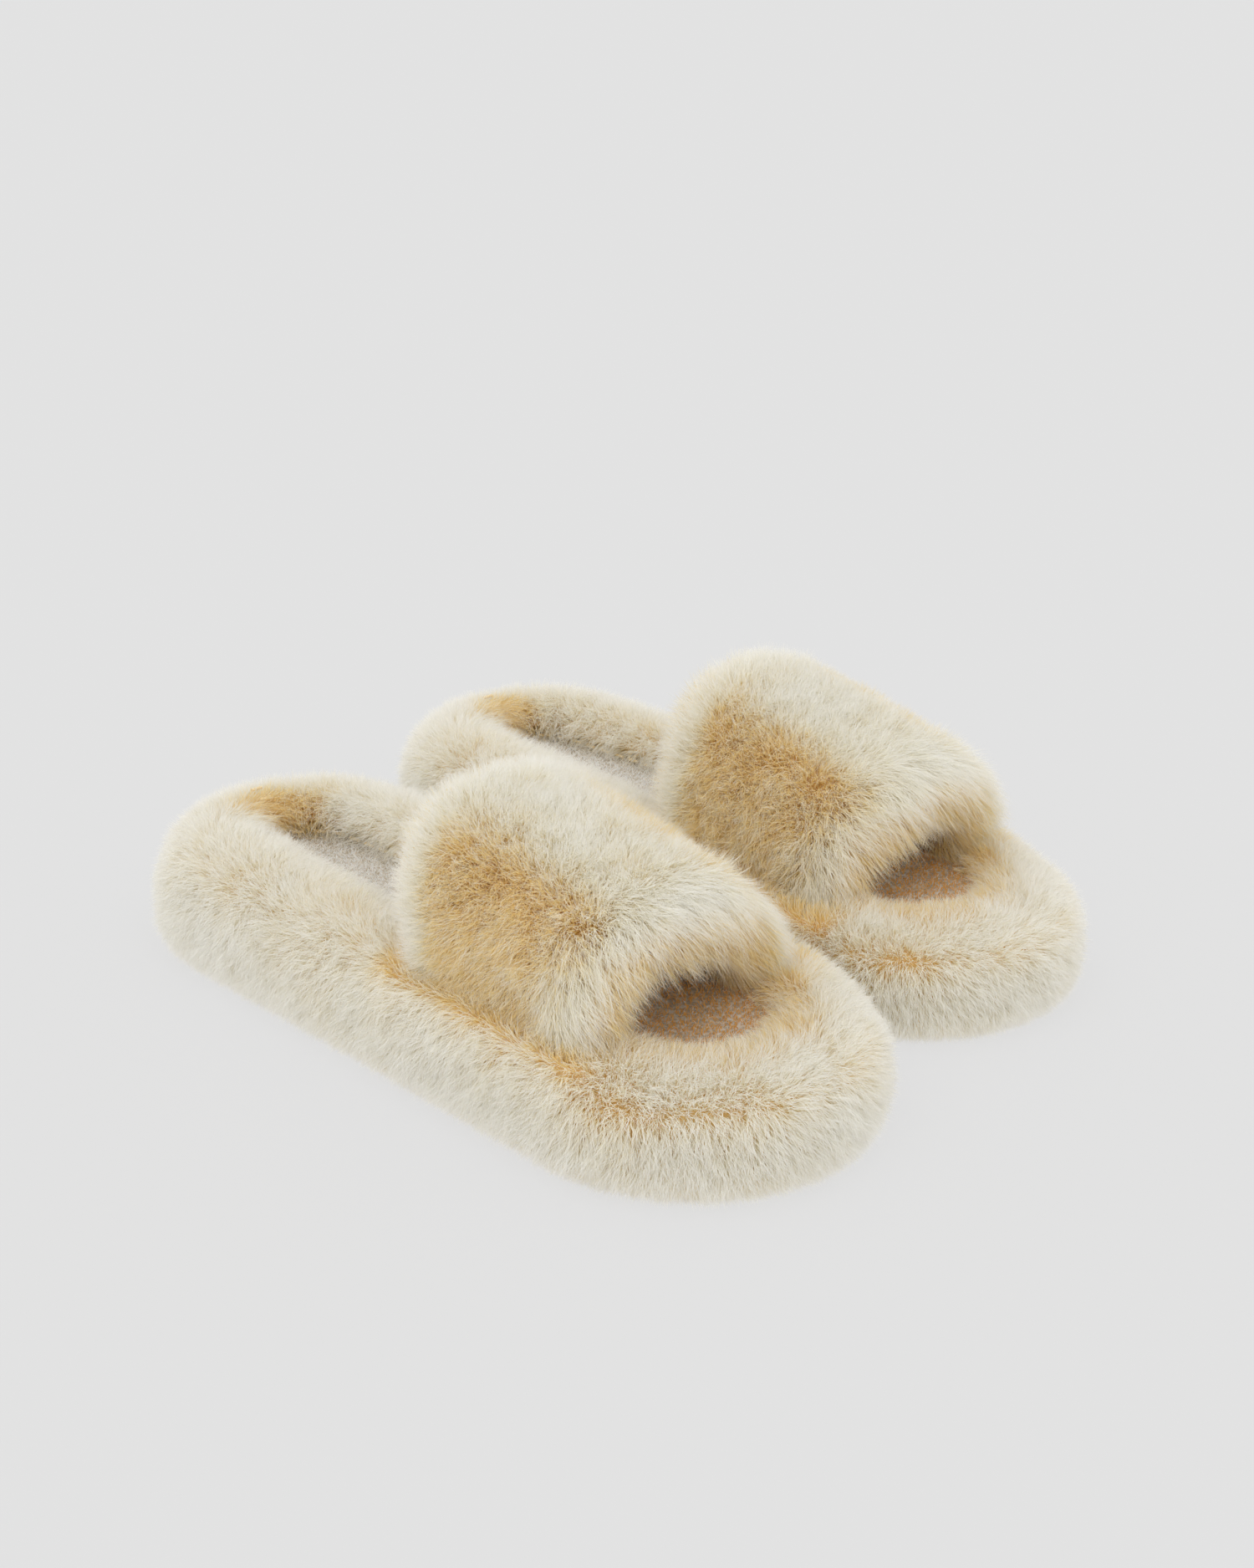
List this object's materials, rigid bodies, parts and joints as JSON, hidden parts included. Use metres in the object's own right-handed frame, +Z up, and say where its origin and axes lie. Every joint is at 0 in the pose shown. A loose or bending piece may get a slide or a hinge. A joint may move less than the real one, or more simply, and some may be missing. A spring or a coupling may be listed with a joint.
{
  "type": "fluffy house slippers",
  "caption": "Open-toe, open-back slides with a padded fur rim round the footbed and a wide fur band over the instep, for wearing indoors.",
  "frame": {"origin": "on the floor, at the middle of the pair's footprint", "axes": "+Z up, toes towards -Y, the left slipper on the +X side"},
  "size_m": [0.2222, 0.289, 0.0881],
  "materials": {
    "cream_fur": "long faux fur pile, cream tips over golden tan roots",
    "sock_fabric": "pale grey short looped pile",
    "plush_lining": "short warm brown plush",
    "rubber_sole": "matte moulded rubber with cross grooves",
    "eva_foam": "closed-cell foam",
    "soft_foam": "open-cell foam",
    "fibre_board": "pressed fibre board",
    "thread": "twisted polyester thread"
  },
  "bodies": {
    "right_slipper": {"right_outsole": "rubber_sole", "right_midsole": "eva_foam", "right_insole_board": "fibre_board", "right_footbed_foam": "soft_foam", "right_sock_liner": "sock_fabric", "right_rim_foam": "soft_foam", "right_rim_fur": "cream_fur", "right_band_fur": "cream_fur", "right_band_foam": "soft_foam", "right_band_lining": "plush_lining", "right_sock_seam_stitches": "thread", "right_band_edge_stitches": "thread", "right_band_anchor_stitches": "thread", "right_heel_seam_stitches": "thread"},
    "left_slipper": {"left_outsole": "rubber_sole", "left_midsole": "eva_foam", "left_insole_board": "fibre_board", "left_footbed_foam": "soft_foam", "left_sock_liner": "sock_fabric", "left_rim_foam": "soft_foam", "left_rim_fur": "cream_fur", "left_band_fur": "cream_fur", "left_band_foam": "soft_foam", "left_band_lining": "plush_lining", "left_sock_seam_stitches": "thread", "left_band_edge_stitches": "thread", "left_band_anchor_stitches": "thread", "left_heel_seam_stitches": "thread"}
  },
  "joints": [
    {"name": "left_lift", "type": "slide", "parent": "right_slipper", "child": "left_slipper", "axis": [0, 0, 1], "range_m": [0, 0.15]}
  ]
}
